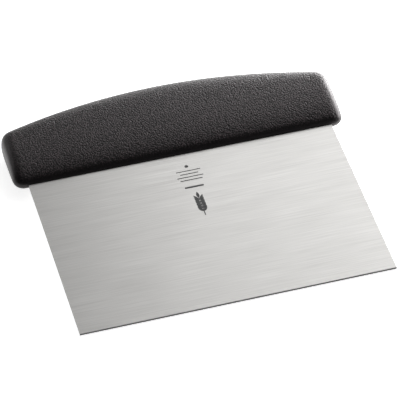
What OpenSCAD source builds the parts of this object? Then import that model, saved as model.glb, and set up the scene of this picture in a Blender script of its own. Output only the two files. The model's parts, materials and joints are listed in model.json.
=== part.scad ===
// Bench scraper: a sheet of stainless steel with a two-shot plastic handle moulded round its tang.
// The parts are drawn flat, with X along the scraping edge, Y up the blade and Z out of its front,
// and are then laid down as the scraper lies on a bench, front up, resting on its edge and its handle.

/* [Blade] */
// Width of the sheet, along the scraping edge
blade_width = 152.4; // [140:0.1:154]
// Height of the sheet that stands clear of the handle
blade_height = 101.6; // [70:0.1:130]
// Thickness of the sheet
blade_thickness = 1; // [0.8:0.1:1.6]
// Width of the flat broken off the straight edges
edge_break = 0.12; // [0.05:0.01:0.2]

/* [Tang] */
// How far the sheet runs on inside the handle
tang_depth = 24; // [20:0.5:25]
// Corner cut off each end of the tang
tang_corner = 8; // [2:0.5:12]
// Number of holes punched in the tang for the core to grip
anchor_count = 5; // [2:1:6]
// Diameter of a punched hole
anchor_d = 9; // [5:0.5:10]
// Spacing of the punched holes
anchor_pitch = 27; // [20:0.5:28]
// Height of the row of punched holes above the handle's underside
anchor_rise = 15; // [13:0.5:16]

/* [Handle] */
// Length of the handle
handle_length = 165.5; // [164:0.5:175]
// Height of the handle at its two ends, to the sharp corner
end_height = 33.5; // [33:0.5:38]
// How far the crown rises above the ends
crown_rise = 14.6; // [12:0.1:18]
// Thickness of the handle at its belly
handle_thickness = 15; // [14:0.5:20]
// Radius of the two corners beside the blade
lower_corner = 5.5; // [3:0.5:6]
// Radius of the two corners at the crown
upper_corner = 7; // [5:0.5:8]
// Height of the belly, the thickest line of the handle, above its underside
belly_height = 24; // [21:0.5:25]
// Fullness of the section below the belly, where 2 is an ellipse and more is squarer
lower_fullness = 2; // [1.8:0.1:3]
// Fullness of the section above the belly
upper_fullness = 3; // [2.2:0.1:3.6]
// How far the rounding of the two end faces reaches along the handle
end_round = 7; // [6:0.5:9]
// Fullness of that rounding, where 2 is an ellipse and more leaves a flatter end face
end_fullness = 3.2; // [2.4:0.1:4]

/* [Core] */
// Thickness of the thin outer flange of the core
flange_thickness = 4; // [3:0.5:5]
// Depth of skin beyond the flange
flange_inset = 4; // [3.5:0.5:5]
// Thickness of the middle of the core, round the tang
body_thickness = 8; // [6:0.5:9]
// Depth of skin beyond the middle of the core
body_inset = 9; // [8:0.5:10]
// Diameter of the windows that tie the front and back of the skin together
window_d = 5; // [3:0.5:6]
// Height of the row of windows above the handle's underside
window_rise = 31; // [30:0.5:32]
// Number of windows
window_count = 4; // [2:1:5]
// Spacing of the windows
window_pitch = 27; // [20:0.5:28]

/* [Hidden] */

half_length = handle_length / 2;
half_thickness = handle_thickness / 2;
sheet_height = blade_height + tang_depth;

// The crown is one arc over the whole length of the handle.
crown_radius = (half_length * half_length + crown_rise * crown_rise) / (2 * crown_rise);
crown_centre = end_height + crown_rise - crown_radius;

// The fillet between each end and the crown, and the angle at which it meets the crown
fillet_x = half_length - upper_corner;
fillet_y = crown_centre + sqrt(pow(crown_radius - upper_corner, 2) - fillet_x * fillet_x);
fillet_angle = atan2(fillet_y - crown_centre, fillet_x);

// Where the fillet meets the crown, and where the underside turns up into the corner beside the blade
crown_half = crown_radius * cos(fillet_angle);
underside_half = half_length - lower_corner;

// Height of the handle's underside and of its top edge at a place along it
function low(x) =
    abs(x) < underside_half
        ? 0
        : lower_corner - sqrt(max(0, pow(lower_corner, 2) - pow(abs(x) - underside_half, 2)));
function high(x) =
    abs(x) < crown_half
        ? crown_centre + sqrt(pow(crown_radius, 2) - x * x)
        : fillet_y + sqrt(max(0, pow(upper_corner, 2) - pow(abs(x) - fillet_x, 2)));

// How far a rounded profile still reaches, as a share, at a given share of the half thickness
function reach(share, fullness) = pow(1 - pow(share, fullness), 1 / fullness);

// The handle is lofted through sections across it. Each has a place and a share of the full thickness.
end_shares = [0.2, 0.4, 0.55, 0.68, 0.79, 0.88, 0.95, 0.99];
middle_steps = 22;
middle_half = half_length - end_round;
tip_reach = reach(end_shares[0], end_fullness);
left_end = [
    for (share = end_shares)
        [end_round * (tip_reach - reach(share, end_fullness)) - half_length, share]
];
middle = [for (i = [0:middle_steps]) [middle_half * (2 * i / middle_steps - 1), 1]];
right_end = [for (i = [len(left_end) - 1:-1:0]) [-left_end[i][0], left_end[i][1]]];
stations = concat(left_end, middle, right_end);

// Angles round a section, from the underside through the front, the top and the back
quarter_angles = [0, 12, 24, 36, 48, 60, 70, 79, 85];
quarter_count = len(quarter_angles);
section_angles = concat(
    quarter_angles,
    [90],
    [for (i = [quarter_count - 1:-1:0]) 180 - quarter_angles[i]],
    [for (i = [1:quarter_count - 1]) 180 + quarter_angles[i]],
    [270],
    [for (i = [quarter_count - 1:-1:1]) 360 - quarter_angles[i]]
);
section_count = len(section_angles);

function section(x, thickness_share) = [
    for (angle = section_angles)
        let (
            share = abs(sin(angle)),
            rise = cos(angle) > 0
                ? (low(x) - belly_height) * reach(share, lower_fullness)
                : (high(x) - belly_height) * reach(share, upper_fullness)
        )
        [x, blade_height + belly_height + rise, half_thickness * thickness_share * sin(angle)]
];

handle_points = [for (station = stations) each section(station[0], station[1])];
station_count = len(stations);
handle_faces = concat(
    [
        for (i = [0:station_count - 2], j = [0:section_count - 1])
            let (
                a = i * section_count,
                b = a + section_count,
                k = (j + 1) % section_count
            )
            each [[a + j, b + k, b + j], [a + j, a + k, b + k]]
    ],
    [[for (j = [section_count - 1:-1:0]) j]],
    [[for (j = [0:section_count - 1]) (station_count - 1) * section_count + j]]
);

// Lying on a bench, the sheet's back lower edge and the handle's back touch the same plane.
lie_angle = max([for (p = handle_points) atan2(-p.z - blade_thickness / 2, p.y)]);
front_y = -sin(lie_angle) * blade_thickness / 2;
back_y = max([for (p = handle_points) p.y * cos(lie_angle) - p.z * sin(lie_angle)]);

module lay_down() {
    translate([0, -(front_y + back_y) / 2, cos(lie_angle) * blade_thickness / 2])
        rotate([lie_angle, 0, 0])
            children();
}

module handle_form() {
    polyhedron(points = handle_points, faces = handle_faces, convexity = 4);
}

// A strip of sheet seen end on, with its four long edges broken
module broken_strip(from, to) {
    t = blade_thickness / 2;
    e = edge_break;
    polygon([
        [from, e - t], [from + e, -t], [to - e, -t], [to, e - t],
        [to, t - e], [to - e, t], [from + e, t], [from, t - e]
    ]);
}

// The steel before it is punched
module sheet() {
    half = blade_width / 2;
    intersection() {
        linear_extrude(blade_thickness, center = true)
            polygon([
                [-half, 0], [half, 0], [half, sheet_height - tang_corner],
                [half - tang_corner, sheet_height], [tang_corner - half, sheet_height],
                [-half, sheet_height - tang_corner]
            ]);
        rotate([90, 0, 90])
            linear_extrude(blade_width, center = true)
                broken_strip(0, sheet_height);
        translate([0, sheet_height, 0])
            rotate([90, 0, 0])
                linear_extrude(sheet_height)
                    broken_strip(-half, half);
    }
}

// A row of round bars through the handle, centred on its length
module row_of_bars(count, pitch, diameter, rise) {
    for (i = [0:count - 1])
        translate([(i - (count - 1) / 2) * pitch, blade_height + rise, 0])
            cylinder(h = handle_thickness, d = diameter, center = true, $fn = 48);
}

module punched_sheet() {
    difference() {
        sheet();
        row_of_bars(anchor_count, anchor_pitch, anchor_d, anchor_rise);
    }
}

// A slab that follows the handle's outline, drawn in by an equal margin all round
module crowned_slab(thickness, inset) {
    translate([0, blade_height, 0])
        linear_extrude(thickness, center = true)
            intersection() {
                translate([inset - half_length, inset])
                    square([handle_length - 2 * inset, end_height + crown_rise]);
                translate([0, crown_centre])
                    circle(crown_radius - inset, $fn = 180);
            }
}

module core_envelope() {
    difference() {
        union() {
            crowned_slab(flange_thickness, flange_inset);
            crowned_slab(body_thickness, body_inset);
        }
        row_of_bars(window_count, window_pitch, window_d, window_rise);
    }
}

// Stainless sheet: the exposed blade and the punched tang inside the handle
module blade() {
    color("lightgray")
        lay_down()
            punched_sheet();
}

// Rigid first shot, moulded round the tang and through its holes
module handle_core() {
    color("dimgray")
        lay_down()
            difference() {
                core_envelope();
                punched_sheet();
            }
}

// Grained second shot, moulded round the core and through its windows
module handle_grip() {
    color("#2e2c2d")
        lay_down()
            difference() {
                handle_form();
                core_envelope();
                sheet();
            }
}

blade();
handle_core();
handle_grip();
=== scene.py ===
"""Bench scraper: a grained skin, brushed steel, a small printed mark and soft studio light."""

import json
import math

import bmesh
import bpy
import numpy as np
from mathutils import Matrix, Vector, noise
from mathutils.bvhtree import BVHTree


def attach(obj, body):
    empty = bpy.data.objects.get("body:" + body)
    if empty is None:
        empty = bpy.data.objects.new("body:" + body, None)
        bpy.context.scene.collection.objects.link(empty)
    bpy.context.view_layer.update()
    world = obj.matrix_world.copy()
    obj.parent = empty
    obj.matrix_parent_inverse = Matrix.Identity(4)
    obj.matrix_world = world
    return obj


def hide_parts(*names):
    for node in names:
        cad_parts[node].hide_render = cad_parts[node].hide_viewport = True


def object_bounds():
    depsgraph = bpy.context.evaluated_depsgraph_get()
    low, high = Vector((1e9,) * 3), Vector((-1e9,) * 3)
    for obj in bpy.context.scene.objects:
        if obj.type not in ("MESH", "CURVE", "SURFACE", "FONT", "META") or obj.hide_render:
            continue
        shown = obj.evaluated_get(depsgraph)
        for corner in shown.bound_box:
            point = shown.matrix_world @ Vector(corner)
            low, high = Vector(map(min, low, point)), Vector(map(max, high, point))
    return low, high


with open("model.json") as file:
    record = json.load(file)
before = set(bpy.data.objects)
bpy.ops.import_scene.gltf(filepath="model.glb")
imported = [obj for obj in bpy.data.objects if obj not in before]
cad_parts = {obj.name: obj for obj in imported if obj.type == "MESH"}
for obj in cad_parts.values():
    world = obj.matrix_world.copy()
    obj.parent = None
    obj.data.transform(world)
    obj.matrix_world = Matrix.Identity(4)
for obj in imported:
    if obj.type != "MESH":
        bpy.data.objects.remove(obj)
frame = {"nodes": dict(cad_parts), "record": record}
cad_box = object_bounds()

MM = 0.001
TINY = 0.001 * MM


def new_object(name, data):
    """An object in the scene that holds a mesh, a light or a camera."""
    made = bpy.data.objects.new(name, data)
    bpy.context.scene.collection.objects.link(made)
    return made


def mesh_object(name, mesh, material):
    """An object in the scene made from a bmesh, which is then freed."""
    data = bpy.data.meshes.new(name)
    mesh.to_mesh(data)
    mesh.free()
    data.materials.append(material)
    return new_object(name, data)


# ---------------------------------------------------------------- camera

VIEW_AZIMUTH = math.radians(-14.32)
VIEW_ELEVATION = math.radians(41.51)
VIEW_ROLL = math.radians(-1.95)
VIEW_TARGET = Vector((0.00066, -0.00400, 0.00288))
VIEW_DISTANCE = 1.4578
LENS = 274.5
SENSOR_WIDTH = 36
CLIP_END = 50


def add_camera():
    """A long lens on the left, looking down at the front of the blade."""
    level_share = math.cos(VIEW_ELEVATION)
    back = Vector((
        math.sin(VIEW_AZIMUTH) * level_share,
        -math.cos(VIEW_AZIMUTH) * level_share,
        math.sin(VIEW_ELEVATION),
    ))
    level_right = Vector((math.cos(VIEW_AZIMUTH), math.sin(VIEW_AZIMUTH), 0))
    level_up = back.cross(level_right)
    right = math.cos(VIEW_ROLL) * level_right + math.sin(VIEW_ROLL) * level_up
    turn = Matrix((right, back.cross(right), back)).transposed().to_4x4()
    camera = new_object("camera", bpy.data.cameras.new("camera"))
    camera.data.lens = LENS
    camera.data.sensor_width = SENSOR_WIDTH
    camera.data.clip_end = CLIP_END
    camera.matrix_world = Matrix.Translation(VIEW_TARGET + VIEW_DISTANCE * back) @ turn
    bpy.context.scene.camera = camera


# ---------------------------------------------------------------- the scraper's own directions

# The scraper lies tilted, so its pieces are shaped in a flat frame: X along the edge, Y up the blade
# from the edge and Z out of the front. The mount on the scraping edge says where that frame lies.
edge_mount = frame["record"]["mounts"][0]
EDGE = np.array(edge_mount["pos_m"])
UP = -Vector(edge_mount["axis"]).normalized()
FLAT_AXES = np.array([Vector((1, 0, 0)), UP, Vector((1, 0, 0)).cross(UP)])


def to_world(flat):
    """Points of the flat frame, as rows, in the row frame."""
    return np.asarray(flat, float) @ FLAT_AXES + EDGE


def to_flat(world):
    """Points of the row frame, as rows, in the flat frame."""
    return (np.asarray(world, float) - EDGE) @ FLAT_AXES.T


blade_points = to_flat([v.co for v in frame["nodes"]["blade"].data.vertices])
grip_points = to_flat([v.co for v in frame["nodes"]["handle_grip"].data.vertices])

HALF_BLADE = blade_points[:, 0].max()
HALF_SHEET = blade_points[:, 2].max()
HALF_LENGTH = grip_points[:, 0].max()
UNDERSIDE = grip_points[:, 1].min()
CROWN = grip_points[:, 1].max() - UNDERSIDE
HALF_THICKNESS = grip_points[:, 2].max()

# The rest of the handle's shape, as in the CAD model
END_HEIGHT = 33.5 * MM
BELLY = 24 * MM
LOWER_CORNER = 5.5 * MM
UPPER_CORNER = 7 * MM
LOWER_FULLNESS = 2.0
UPPER_FULLNESS = 3.0
END_ROUND = 7 * MM
END_FULLNESS = 3.2

# The mesh of the skin: its spacing, the share of the thickness at its first section, the samples along
# a profile that space it, and how far its lower edge reaches past the CAD skin's, down over the blade
SKIN_STEP = 0.52 * MM
TIP_SHARE = 0.03
PROFILE_SAMPLES = 20000
LIP = 0.3 * MM

# The coarse grain in the mesh: its pitch and height, how much nearer a pebble's own centre is than the
# next one's where it reaches full height, as a share of the pitch, and the share of the height that is
# sunk below the smooth surface
GRAIN_PITCH = 1.2 * MM
GRAIN_HEIGHT = 0.03 * MM
GRAIN_FLANK = 0.6
GRAIN_SUNK = 0.6

# Where all the grain fades in, above the underside and in from each end, and what is left at the ends
GRAIN_FADE_LOW = (0.3 * MM, 3 * MM)
GRAIN_FADE_END = (2 * MM, 5 * MM)
GRAIN_AT_END = 0.2

# The mould's parting line, and where it fades in above the underside
SEAM_HEIGHT = 0.04 * MM
SEAM_WIDTH = 0.4 * MM
SEAM_FADE = (1 * MM, 3 * MM)


# ---------------------------------------------------------------- the handle's skin


def reach(share, fullness):
    """How far a rounded profile still reaches, as a share, at a share of the half thickness."""
    return (1 - share**fullness) ** (1 / fullness)


def even_shares(height, half_width, fullness):
    """Shares of the half thickness that step evenly along one quarter of a rounded profile."""
    share = np.sin(np.linspace(0, math.pi / 2, PROFILE_SAMPLES))
    path = np.c_[height * (1 - reach(share, fullness)), half_width * share]
    run = np.r_[0, np.cumsum(np.linalg.norm(np.diff(path, axis=0), axis=1))]
    return np.interp(np.linspace(0, run[-1], round(run[-1] / SKIN_STEP) + 1), run, share)


def stations():
    """Places along the handle for its sections, and the share of the full thickness at each.

    The blade's two sides lie within the rounding of the ends, and each gets a section of its own.
    """
    end = even_shares(END_ROUND, HALF_THICKNESS, END_FULLNESS)
    end = np.r_[TIP_SHARE, end[end > 2 * TIP_SHARE]][:-1]
    tip = reach(TIP_SHARE, END_FULLNESS)
    left = END_ROUND * (tip - reach(end, END_FULLNESS)) - HALF_LENGTH
    left[abs(left + HALF_BLADE).argmin()] = -HALF_BLADE
    count = round(2 * (HALF_LENGTH - END_ROUND) / SKIN_STEP)
    middle = np.linspace(END_ROUND - HALF_LENGTH, HALF_LENGTH - END_ROUND, count + 1)
    return np.r_[left, middle, -left[::-1]], np.r_[end, np.ones(count + 1), end[::-1]]


def end_rise(x, corner, corner_x):
    """How far a corner's arc still stands from its flat side at a distance along the handle."""
    return corner - np.sqrt(corner**2 - np.clip(abs(x) - corner_x, 0, corner) ** 2)


def handle_edges(x):
    """The height of the handle's lower and upper edges at places along it."""
    rise = CROWN - END_HEIGHT
    radius = (HALF_LENGTH**2 + rise**2) / (2 * rise)
    centre = CROWN - radius
    fillet_x = HALF_LENGTH - UPPER_CORNER
    fillet_y = centre + math.sqrt((radius - UPPER_CORNER) ** 2 - fillet_x**2)
    crown_half = radius * math.cos(math.atan2(fillet_y - centre, fillet_x))
    crown = centre + np.sqrt(radius**2 - x**2)
    fillet = fillet_y + UPPER_CORNER - end_rise(x, UPPER_CORNER, fillet_x)
    low = end_rise(x, LOWER_CORNER, HALF_LENGTH - LOWER_CORNER) - LIP
    return low, np.where(abs(x) < crown_half, crown, fillet)


def skin_sections():
    """The skin's sections from left to right, and how many points of each go into half of the slot."""
    x, thickness = stations()
    lower = even_shares(BELLY, HALF_THICKNESS, LOWER_FULLNESS)
    slot = 1 + abs(HALF_THICKNESS * lower[1:] - HALF_SHEET).argmin()
    lower[slot] = HALF_SHEET / HALF_THICKNESS
    upper = even_shares(CROWN - BELLY, HALF_THICKNESS, UPPER_FULLNESS)
    front = np.r_[lower, upper[-2::-1]]
    level = np.r_[reach(lower, LOWER_FULLNESS), reach(upper[-2::-1], UPPER_FULLNESS)]
    is_low = np.arange(len(front)) < len(lower)
    low, high = handle_edges(x)
    rise = np.where(is_low, low[:, None] - BELLY, high[:, None] - BELLY) * level
    half = np.stack([
        np.broadcast_to(x[:, None], rise.shape),
        UNDERSIDE + BELLY + rise,
        HALF_THICKNESS * thickness[:, None] * front,
    ], axis=2)
    back = half[:, -2:0:-1] * (1, 1, -1)
    return np.concatenate([half, back], axis=1), slot


def smooth(value, low, high):
    """0 up to low, 1 from high, and an S-curve between them."""
    t = np.clip((value - low) / (high - low), 0, 1)
    return t * t * (3 - 2 * t)


def grain_heights(points):
    """The coarse grain at each point, from 0 in the valleys between pebbles to 1 on their tops."""
    near = [noise.voronoi(Vector(p))[0] for p in points / GRAIN_PITCH]
    return smooth(np.array([d[1] - d[0] for d in near]), 0, GRAIN_FLANK)


def grain_amount(points):
    """How strong the grain is at each point: it fades out beside the blade and towards the two ends."""
    beside_blade = smooth(points[..., 1] - UNDERSIDE, *GRAIN_FADE_LOW)
    off_end = smooth(HALF_LENGTH - abs(points[..., 0]), *GRAIN_FADE_END)
    return beside_blade * (GRAIN_AT_END + (1 - GRAIN_AT_END) * off_end)


def raise_surface(rings):
    """The rings with the coarse grain and the mould's parting line raised on them."""
    around = np.roll(rings, -1, axis=1) - np.roll(rings, 1, axis=1)
    normal = np.cross(np.gradient(rings, axis=0), around)
    normal /= np.linalg.norm(normal, axis=2, keepdims=True)
    seam = np.exp(-((rings[..., 2] / SEAM_WIDTH) ** 2))
    seam *= smooth(rings[..., 1] - UNDERSIDE, *SEAM_FADE)
    pebbles = grain_heights(rings.reshape(-1, 3)).reshape(seam.shape) - GRAIN_SUNK
    lift = GRAIN_HEIGHT * pebbles * grain_amount(rings) * (1 - seam) + SEAM_HEIGHT * seam
    return rings + normal * lift[..., None]


def outer_skin():
    """The outside of the skin in the row frame, with the mouth of the blade's slot left open."""
    rings, slot = skin_sections()
    over_blade = abs(rings[:, 0, 0]) < HALF_BLADE + TINY
    around = rings.shape[1]
    mesh = bmesh.new()
    rows = [[mesh.verts.new(p) for p in to_world(ring)] for ring in raise_surface(rings)]
    for i in range(len(rows) - 1):
        in_mouth = over_blade[i] and over_blade[i + 1]
        for j in range(around):
            if in_mouth and (j < slot or j >= around - slot):
                continue
            k = (j + 1) % around
            mesh.faces.new((rows[i][j], rows[i + 1][j], rows[i + 1][k], rows[i][k]))
    mesh.faces.new(rows[0])
    mesh.faces.new(rows[-1][::-1])
    for face in mesh.faces:
        face.smooth = True
    loose = [v for v in mesh.verts if not v.link_faces]
    bmesh.ops.delete(mesh, geom=loose, context="VERTS")
    return mesh


def add_cavity(mesh, outer):
    """Adds the inside of the CAD skin, where the core and the blade fit, and joins it to the mouth."""
    on_surface = 0.3 * MM
    mouth = [e for e in mesh.edges if e.is_boundary]
    inner = bmesh.new()
    inner.from_mesh(frame["nodes"]["handle_grip"].data)
    bmesh.ops.remove_doubles(inner, verts=inner.verts, dist=TINY)
    outside = {v for v in inner.verts if outer.find_nearest(v.co)[3] < on_surface}
    shell = [f for f in inner.faces if outside.issuperset(f.verts)]
    bmesh.ops.delete(inner, geom=shell, context="FACES")
    placed = {v: mesh.verts.new(v.co) for v in inner.verts}
    for face in inner.faces:
        mesh.faces.new([placed[v] for v in face.verts])
    rim = [mesh.edges.get([placed[v] for v in e.verts]) for e in inner.edges if e.is_boundary]
    bmesh.ops.bridge_loops(mesh, edges=mouth + rim)
    bmesh.ops.recalc_face_normals(mesh, faces=mesh.faces)
    inner.free()


def add_piece(name, mesh, material):
    """A piece made from a bmesh in the row frame, riding on the scraper's one body."""
    piece = mesh_object(name, mesh, material)
    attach(piece, "root")
    return piece


def add_grip(material):
    """The grained skin in place of the plain CAD one."""
    mesh = outer_skin()
    add_cavity(mesh, BVHTree.FromBMesh(mesh))
    piece = add_piece("grip_skin", mesh, material)
    points = to_flat([v.co for v in piece.data.vertices])
    amount = piece.data.attributes.new("grain_amount", "FLOAT", "POINT")
    amount.data.foreach_set("value", grain_amount(points))
    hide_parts("handle_grip")


# ---------------------------------------------------------------- the small printed mark

PRINT_LIFT = 0.01 * MM
PRINT_DEPTH = 0.03 * MM

# The rest is in millimetres, with heights above the scraping edge: the ear's stalk, the foot of each
# pair of seeds and of the one on top, and each seed's place off the middle, lean in degrees and size.
# A bulge below 1 makes a seed widest nearer its foot. The points are those along half an outline.
STALK = [(-0.25, 58.2), (0.25, 58.2), (0.2, 70.6), (-0.2, 70.6)]
SEED_ROWS = (61.0, 62.9, 64.8, 66.7, 68.6)
TOP_SEED = 70.4
SEED_OFFSET = 0.35
SEED_LEAN = 27
SEED_LENGTH = 4.2
SEED_WIDTH = 1.5
SEED_BULGE = 0.8
SEED_POINTS = 17
BAR_END_POINTS = 9

# The height, length and thickness of each plain bar
PLAIN_BARS = (
    (92.7, 1.9, 1.8),
    (89.6, 12, 0.5),
    (87.5, 9, 0.5),
    (85.4, 13, 0.5),
    (83.3, 11, 0.5),
    (78.3, 9.5, 1.1),
)


def print_shape(mesh, outline):
    """Adds one printed shape: a thin prism on the blade's front, from its outline in millimetres."""
    count = len(outline)
    flat = np.array(outline) * MM
    base = HALF_SHEET + PRINT_LIFT
    low = [mesh.verts.new(p) for p in to_world(np.c_[flat, np.full(count, base)])]
    top = [mesh.verts.new(p) for p in to_world(np.c_[flat, np.full(count, base + PRINT_DEPTH)])]
    mesh.faces.new(low[::-1])
    mesh.faces.new(top)
    for i in range(count):
        k = (i + 1) % count
        mesh.faces.new((low[i], low[k], top[k], top[i]))


def seed_shape(x, y, turn):
    """A pointed oval that starts at (x, y) and leans to the right by turn degrees."""
    share = np.linspace(0, 1, SEED_POINTS)
    half = SEED_WIDTH / 2 * np.sin(math.pi * share**SEED_BULGE)
    side = np.r_[half, -half[-2:0:-1]]
    along = SEED_LENGTH * np.r_[share, share[-2:0:-1]]
    lean = math.radians(turn)
    across_x = side * math.cos(lean) + along * math.sin(lean)
    return np.c_[x + across_x, y - side * math.sin(lean) + along * math.cos(lean)]


def bar_shape(y, length, height):
    """A bar with round ends, across the middle of the blade with its own middle at height y."""
    angles = np.radians(np.linspace(-90, 90, BAR_END_POINTS))
    cap_x = (length - height) / 2 + height / 2 * np.cos(angles)
    cap_y = height / 2 * np.sin(angles)
    return np.c_[np.r_[cap_x, -cap_x], np.r_[y + cap_y, y - cap_y]]


def add_print(material):
    """An ear of wheat with a few plain bars above it, in place of the real blade's words and mark."""
    mesh = bmesh.new()
    print_shape(mesh, STALK)
    for y in SEED_ROWS:
        print_shape(mesh, seed_shape(SEED_OFFSET, y, SEED_LEAN))
        print_shape(mesh, seed_shape(-SEED_OFFSET, y, -SEED_LEAN))
    print_shape(mesh, seed_shape(0, TOP_SEED, 0))
    for y, length, height in PLAIN_BARS:
        print_shape(mesh, bar_shape(y, length, height))
    add_piece("blade_print", mesh, material)


# ---------------------------------------------------------------- shader nodes


def new_material(name):
    """A material with just its output and a Principled shader, its node tree and that shader."""
    material = bpy.data.materials.new(name)
    material.use_nodes = True
    tree = material.node_tree
    return material, tree, tree.nodes["Principled BSDF"]


def fill(tree, sockets, values):
    """Sets each input socket to its value, or links it where the value is another node's output."""
    for socket, value in zip(sockets, values):
        if isinstance(value, bpy.types.NodeSocket):
            tree.links.new(value, socket)
        else:
            socket.default_value = value


def set_inputs(tree, node, values):
    """Sets or links a node's input sockets by name."""
    fill(tree, [node.inputs[name] for name in values], values.values())


def add_node(tree, kind, values=None, **settings):
    """A node with its settings made, and its input sockets set or linked by name."""
    node = tree.nodes.new(kind)
    for name, value in settings.items():
        setattr(node, name, value)
    set_inputs(tree, node, values or {})
    return node


def place(tree, scale=(1, 1, 1)):
    """The point on the piece, in metres, times a scale along each axis."""
    where = add_node(tree, "ShaderNodeTexCoord").outputs["Object"]
    return add_node(tree, "ShaderNodeMapping", {"Vector": where, "Scale": scale}).outputs["Vector"]


def noise_at(tree, where, scale, detail=2.0, roughness=0.5):
    """Noise from 0 to 1, with scale bumps to each unit of the place."""
    values = {"Vector": where, "Scale": scale, "Detail": detail, "Roughness": roughness}
    return add_node(tree, "ShaderNodeTexNoise", values).outputs["Fac"]


def ramp(tree, value, low, high, to_low=0.0, to_high=1.0):
    """Takes a value between low and high to one between to_low and to_high."""
    ends = {"From Min": low, "From Max": high, "To Min": to_low, "To Max": to_high}
    return add_node(tree, "ShaderNodeMapRange", {"Value": value, **ends}).outputs["Result"]


def blend_colours(tree, share, first, second):
    """A colour between two others."""
    node = add_node(tree, "ShaderNodeMix", data_type="RGBA")
    fill(tree, (node.inputs[0], node.inputs[6], node.inputs[7]), (share, first, second))
    return node.outputs[2]


def maths(tree, operation, first, second):
    """One sum on two values or sockets."""
    node = add_node(tree, "ShaderNodeMath", operation=operation)
    fill(tree, node.inputs, (first, second))
    return node.outputs[0]


def facing(tree, direction, towards):
    """How far a direction points towards another, from 1 for the same way to -1 for the opposite."""
    node = add_node(tree, "ShaderNodeVectorMath", operation="DOT_PRODUCT")
    fill(tree, node.inputs, (direction, towards))
    return node.outputs["Value"]


def bump(tree, shader, height, depth):
    """Raises the surface by the height, from 0 to 1, times a depth in metres."""
    node = add_node(tree, "ShaderNodeBump", {"Height": height, "Distance": depth, "Strength": 1.0})
    tree.links.new(node.outputs["Normal"], shader.inputs["Normal"])


# ---------------------------------------------------------------- materials

# The fine pebbles on the skin, and the finer roughness over them as a share of their height
PEBBLE_PITCH = 0.76 * MM
PEBBLE_HEIGHT = 0.195 * MM
# Painted shade, near black, in the valleys between pebbles, and the worn grey of their tops
PAINTED_VALLEY_SHADE = (0.002, 0.0017, 0.0018, 1)
TOP_BLACK = (0.072, 0.056, 0.060, 1)
SKIN_SHEEN = (1, 0.93, 0.95, 1)
FINE_PITCH = MM / 2.2
FINE_SHARE = 0.12

# How fast the steel's streaks and its broad clouding change along each axis, to the metre, the streaks'
# share of the two together, and how deep they are
STREAK_SCALE = (35, 1900, 35)
BROAD_SCALE = (6, 90, 6)
STREAK_SHARE = 0.9
STREAK_DEPTH = 0.004 * MM
DARK_STEEL = (0.572, 0.565, 0.551, 1)
LIGHT_STEEL = (0.672, 0.665, 0.650, 1)
# Painted shade, near black, for the downward face of the scraping edge
PAINTED_EDGE_SHADE = (0.09, 0.09, 0.092, 1)

DARK_CORE = (0.10, 0.10, 0.105, 1)
LIGHT_CORE = (0.14, 0.14, 0.145, 1)
DARK_INK = (0.05, 0.05, 0.052, 1)
WORN_INK = (0.12, 0.12, 0.12, 1)
DARK_PAPER = (0.86, 0.86, 0.86, 1)
LIGHT_PAPER = (0.88, 0.88, 0.88, 1)
WHITE = (1, 1, 1, 1)


def skin_material():
    """Black soft-touch skin of domed pebbles that fade at the smooth ends, worn greyer and shinier on
    top and with painted shade in the valleys.
    """
    material, tree, shader = new_material("soft_skin")
    where = place(tree)
    amount = add_node(tree, "ShaderNodeAttribute", attribute_name="grain_amount").outputs["Fac"]
    cell_values = {"Vector": where, "Scale": 1 / PEBBLE_PITCH, "Randomness": 1.0}
    cells = add_node(tree, "ShaderNodeTexVoronoi", cell_values, feature="F1").outputs["Distance"]
    dome = maths(tree, "SUBTRACT", 1.0, maths(tree, "POWER", cells, 2.0))
    pebbles = maths(tree, "MULTIPLY", dome, amount)
    fine = maths(tree, "MULTIPLY", noise_at(tree, where, 1 / FINE_PITCH, 3.0, 0.6), FINE_SHARE)
    bump(tree, shader, maths(tree, "ADD", pebbles, fine), PEBBLE_HEIGHT)
    # Worn greyer tops over painted shade in the valleys; where the grain fades, beside the blade and at
    # the ends, the skin is all the valleys' near-black shade
    worn_tops_and_valley_shade = maths(tree, "MULTIPLY", ramp(tree, cells, 0.42, 0.30), amount)
    set_inputs(tree, shader, {
        "Base Color": blend_colours(tree, worn_tops_and_valley_shade, PAINTED_VALLEY_SHADE, TOP_BLACK),
        "Roughness": ramp(tree, worn_tops_and_valley_shade, 0.0, 1.0, 0.38, 0.32),
        "Specular IOR Level": 0.46,
        "Specular Tint": SKIN_SHEEN,
    })
    return material


def steel_material():
    """Sheet brushed along its edge, so its sheen spreads up and down it, with painted shade on the cut
    edge.
    """
    material, tree, shader = new_material("brushed_steel")
    streaks = noise_at(tree, place(tree, STREAK_SCALE), 1.0, 3.0, 0.6)
    broad = noise_at(tree, place(tree, BROAD_SCALE), 1.0, 2.0)
    fine_part = maths(tree, "MULTIPLY", streaks, STREAK_SHARE)
    broad_part = maths(tree, "MULTIPLY", broad, 1 - STREAK_SHARE)
    mixed = maths(tree, "ADD", fine_part, broad_part)
    brushed = blend_colours(tree, ramp(tree, mixed, 0.3, 0.7), DARK_STEEL, LIGHT_STEEL)
    normal = add_node(tree, "ShaderNodeNewGeometry").outputs["True Normal"]
    # Painted shade: faces that point down the blade, the scraping edge's cut face, turn near black
    edge_shade_mask = ramp(tree, facing(tree, normal, -UP), 0.4, 0.9)
    across = add_node(tree, "ShaderNodeCombineXYZ", {"X": 0.0, "Y": UP.y, "Z": UP.z})
    bump(tree, shader, streaks, STREAK_DEPTH)
    set_inputs(tree, shader, {
        "Base Color": blend_colours(tree, edge_shade_mask, brushed, PAINTED_EDGE_SHADE),
        "Roughness": ramp(tree, mixed, 0.3, 0.7, 0.36, 0.29),
        "Metallic": 0.85,
        "Anisotropic": 0.7,
        "Tangent": across.outputs["Vector"],
    })
    return material


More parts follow.
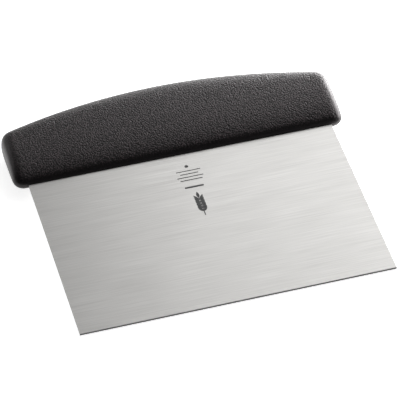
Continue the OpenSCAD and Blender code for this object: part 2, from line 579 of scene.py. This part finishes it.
def core_material():
    """Dull moulded plastic, hidden inside the skin."""
    material, tree, shader = new_material("core_plastic")
    where = place(tree)
    bump(tree, shader, noise_at(tree, where, 2500), 0.02 * MM)
    set_inputs(tree, shader, {
        "Base Color": blend_colours(tree, noise_at(tree, where, 180, 3.0), DARK_CORE, LIGHT_CORE),
        "Roughness": ramp(tree, noise_at(tree, where, 1500), 0.3, 0.7, 0.5, 0.62),
    })
    return material


def print_material():
    """Dark matt ink, worn a little thin in specks."""
    material, tree, shader = new_material("dark_print")
    specks = ramp(tree, noise_at(tree, place(tree), 3500), 0.35, 0.75)
    set_inputs(tree, shader, {
        "Base Color": blend_colours(tree, specks, DARK_INK, WORN_INK),
        "Roughness": ramp(tree, specks, 0.0, 1.0, 0.6, 0.5),
    })
    return material


def floor_material():
    """Pale paper that glows, more towards the back right, so that it stays near white."""
    material, tree, shader = new_material("pale_paper")
    cloud = noise_at(tree, place(tree), 3)
    spot = add_node(tree, "ShaderNodeSeparateXYZ", {"Vector": place(tree)})
    to_right = ramp(tree, spot.outputs["X"], -0.05, 0.12)
    to_back = ramp(tree, spot.outputs["Y"], -0.06, 0.03)
    to_corner = maths(tree, "MULTIPLY", to_right, to_back)
    set_inputs(tree, shader, {
        "Base Color": blend_colours(tree, cloud, DARK_PAPER, LIGHT_PAPER),
        "Roughness": 0.9,
        "Specular IOR Level": 0.1,
        "Emission Color": WHITE,
        "Emission Strength": ramp(tree, to_corner, 0.0, 1.0, 0.80, 3.0),
    })
    return material


# ---------------------------------------------------------------- floor and light

FLOOR_GAP = 0.02 * MM
BRIGHT_SIDE = Vector((0.45, 0.48, 0.75)).normalized()


def add_floor():
    """A wide floor just under the scraper's lowest point."""
    half = 6.0
    height = cad_box[0].z - FLOOR_GAP
    corners = [(-half, -half), (half, -half), (half, half), (-half, half)]
    mesh = bmesh.new()
    mesh.faces.new([mesh.verts.new((x, y, height)) for x, y in corners])
    mesh_object("floor", mesh, floor_material())


def add_panel(name, centre, aim, width, height, radiance):
    """A soft panel that faces a point, and is given its radiance rather than its total power."""
    light = bpy.data.lights.new(name, "AREA")
    light.shape = "RECTANGLE"
    light.size = width
    light.size_y = height
    light.energy = radiance * math.pi * width * height
    panel = new_object(name, light)
    panel.location = centre
    panel.rotation_euler = (Vector(aim) - Vector(centre)).to_track_quat("-Z", "Y").to_euler()
    panel.visible_camera = False


def add_world():
    """Surroundings that the camera sees white, and that light the scraper from above the back right."""
    world = bpy.data.worlds.new("studio")
    world.use_nodes = True
    tree = world.node_tree
    where = add_node(tree, "ShaderNodeTexCoord").outputs["Generated"]
    lit = ramp(tree, facing(tree, where, BRIGHT_SIDE), 0.6, 1.0, 0.05, 0.57)
    seen = add_node(tree, "ShaderNodeLightPath").outputs["Is Camera Ray"]
    set_inputs(tree, tree.nodes["Background"], {
        "Color": WHITE,
        "Strength": maths(tree, "MAXIMUM", lit, seen),
    })
    bpy.context.scene.world = world


def add_lights():
    """The surroundings and six panels.

    The steel reflects the back panel. The back strip and the rim panel lie low behind the handle and
    light its crown, the right panel lights its right shoulder, and the last two fill in from the front
    right and from the back left.
    """
    add_world()
    add_panel("back_panel", (0.37, 0.37, 0.39), (0, 0, 0), 0.66, 0.6, 1.18)
    add_panel("back_strip", (0.50, 0.70, 0.055), (0.04, 0.05, 0), 1.00, 0.09, 5.0)
    add_panel("rim_panel", (0.20, 0.26, 0.025), (0.07, 0.06, 0.01), 0.16, 0.045, 8.5)
    add_panel("right_panel", (0.60, 0.24, 0.15), (0.08, 0.04, 0), 0.62, 0.30, 9.8)
    add_panel("front_fill", (0.60, -0.70, 0.30), (0, 0, 0), 0.60, 0.30, 0.7)
    add_panel("left_panel", (-0.48, 0.52, 0.30), (-0.04, 0.02, 0), 0.60, 0.40, 0.9)


# ---------------------------------------------------------------- the scene

add_camera()
add_lights()
add_floor()
add_grip(skin_material())
add_print(print_material())
frame["nodes"]["blade"].data.materials[0] = steel_material()
frame["nodes"]["handle_core"].data.materials[0] = core_material()
bpy.context.scene.view_settings.view_transform = "Standard"
